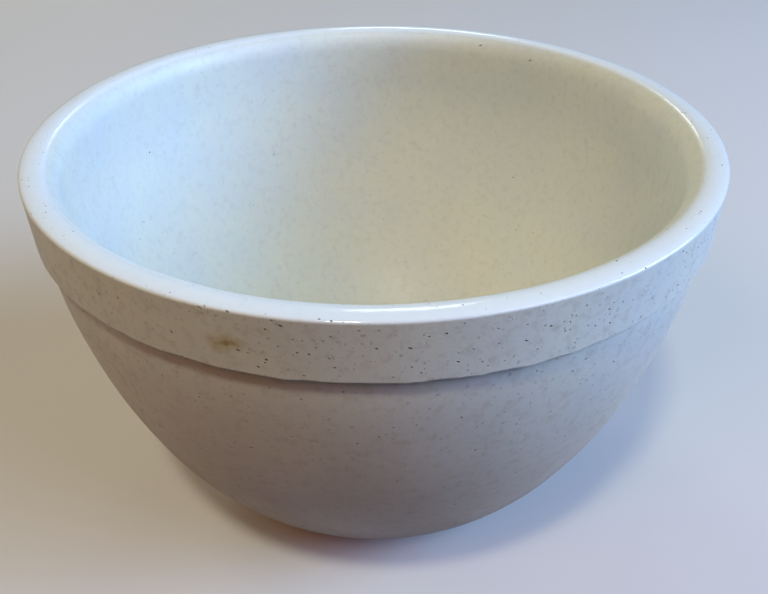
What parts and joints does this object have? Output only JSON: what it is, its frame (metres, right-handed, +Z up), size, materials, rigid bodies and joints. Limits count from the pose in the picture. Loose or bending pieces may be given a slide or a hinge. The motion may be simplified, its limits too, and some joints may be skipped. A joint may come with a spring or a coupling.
{
  "type": "stoneware mixing bowl",
  "caption": "Deep round glazed stoneware mixing bowl with a raised collar band below a flat rolled rim, an open inside and a foot ring to rest on.",
  "frame": {"origin": "centre of the plane that the foot ring rests on", "axes": "+Z up along the bowl's axis, +X to the right seen from the front, +Y away from the front"},
  "size_m": [0.178, 0.178, 0.106],
  "materials": {
    "glazed_stoneware": "off-white pinholed glaze, glossy on the rim and satin on the band"
  },
  "bodies": {
    "root": {"bowl": "glazed_stoneware"}
  },
  "joints": []
}
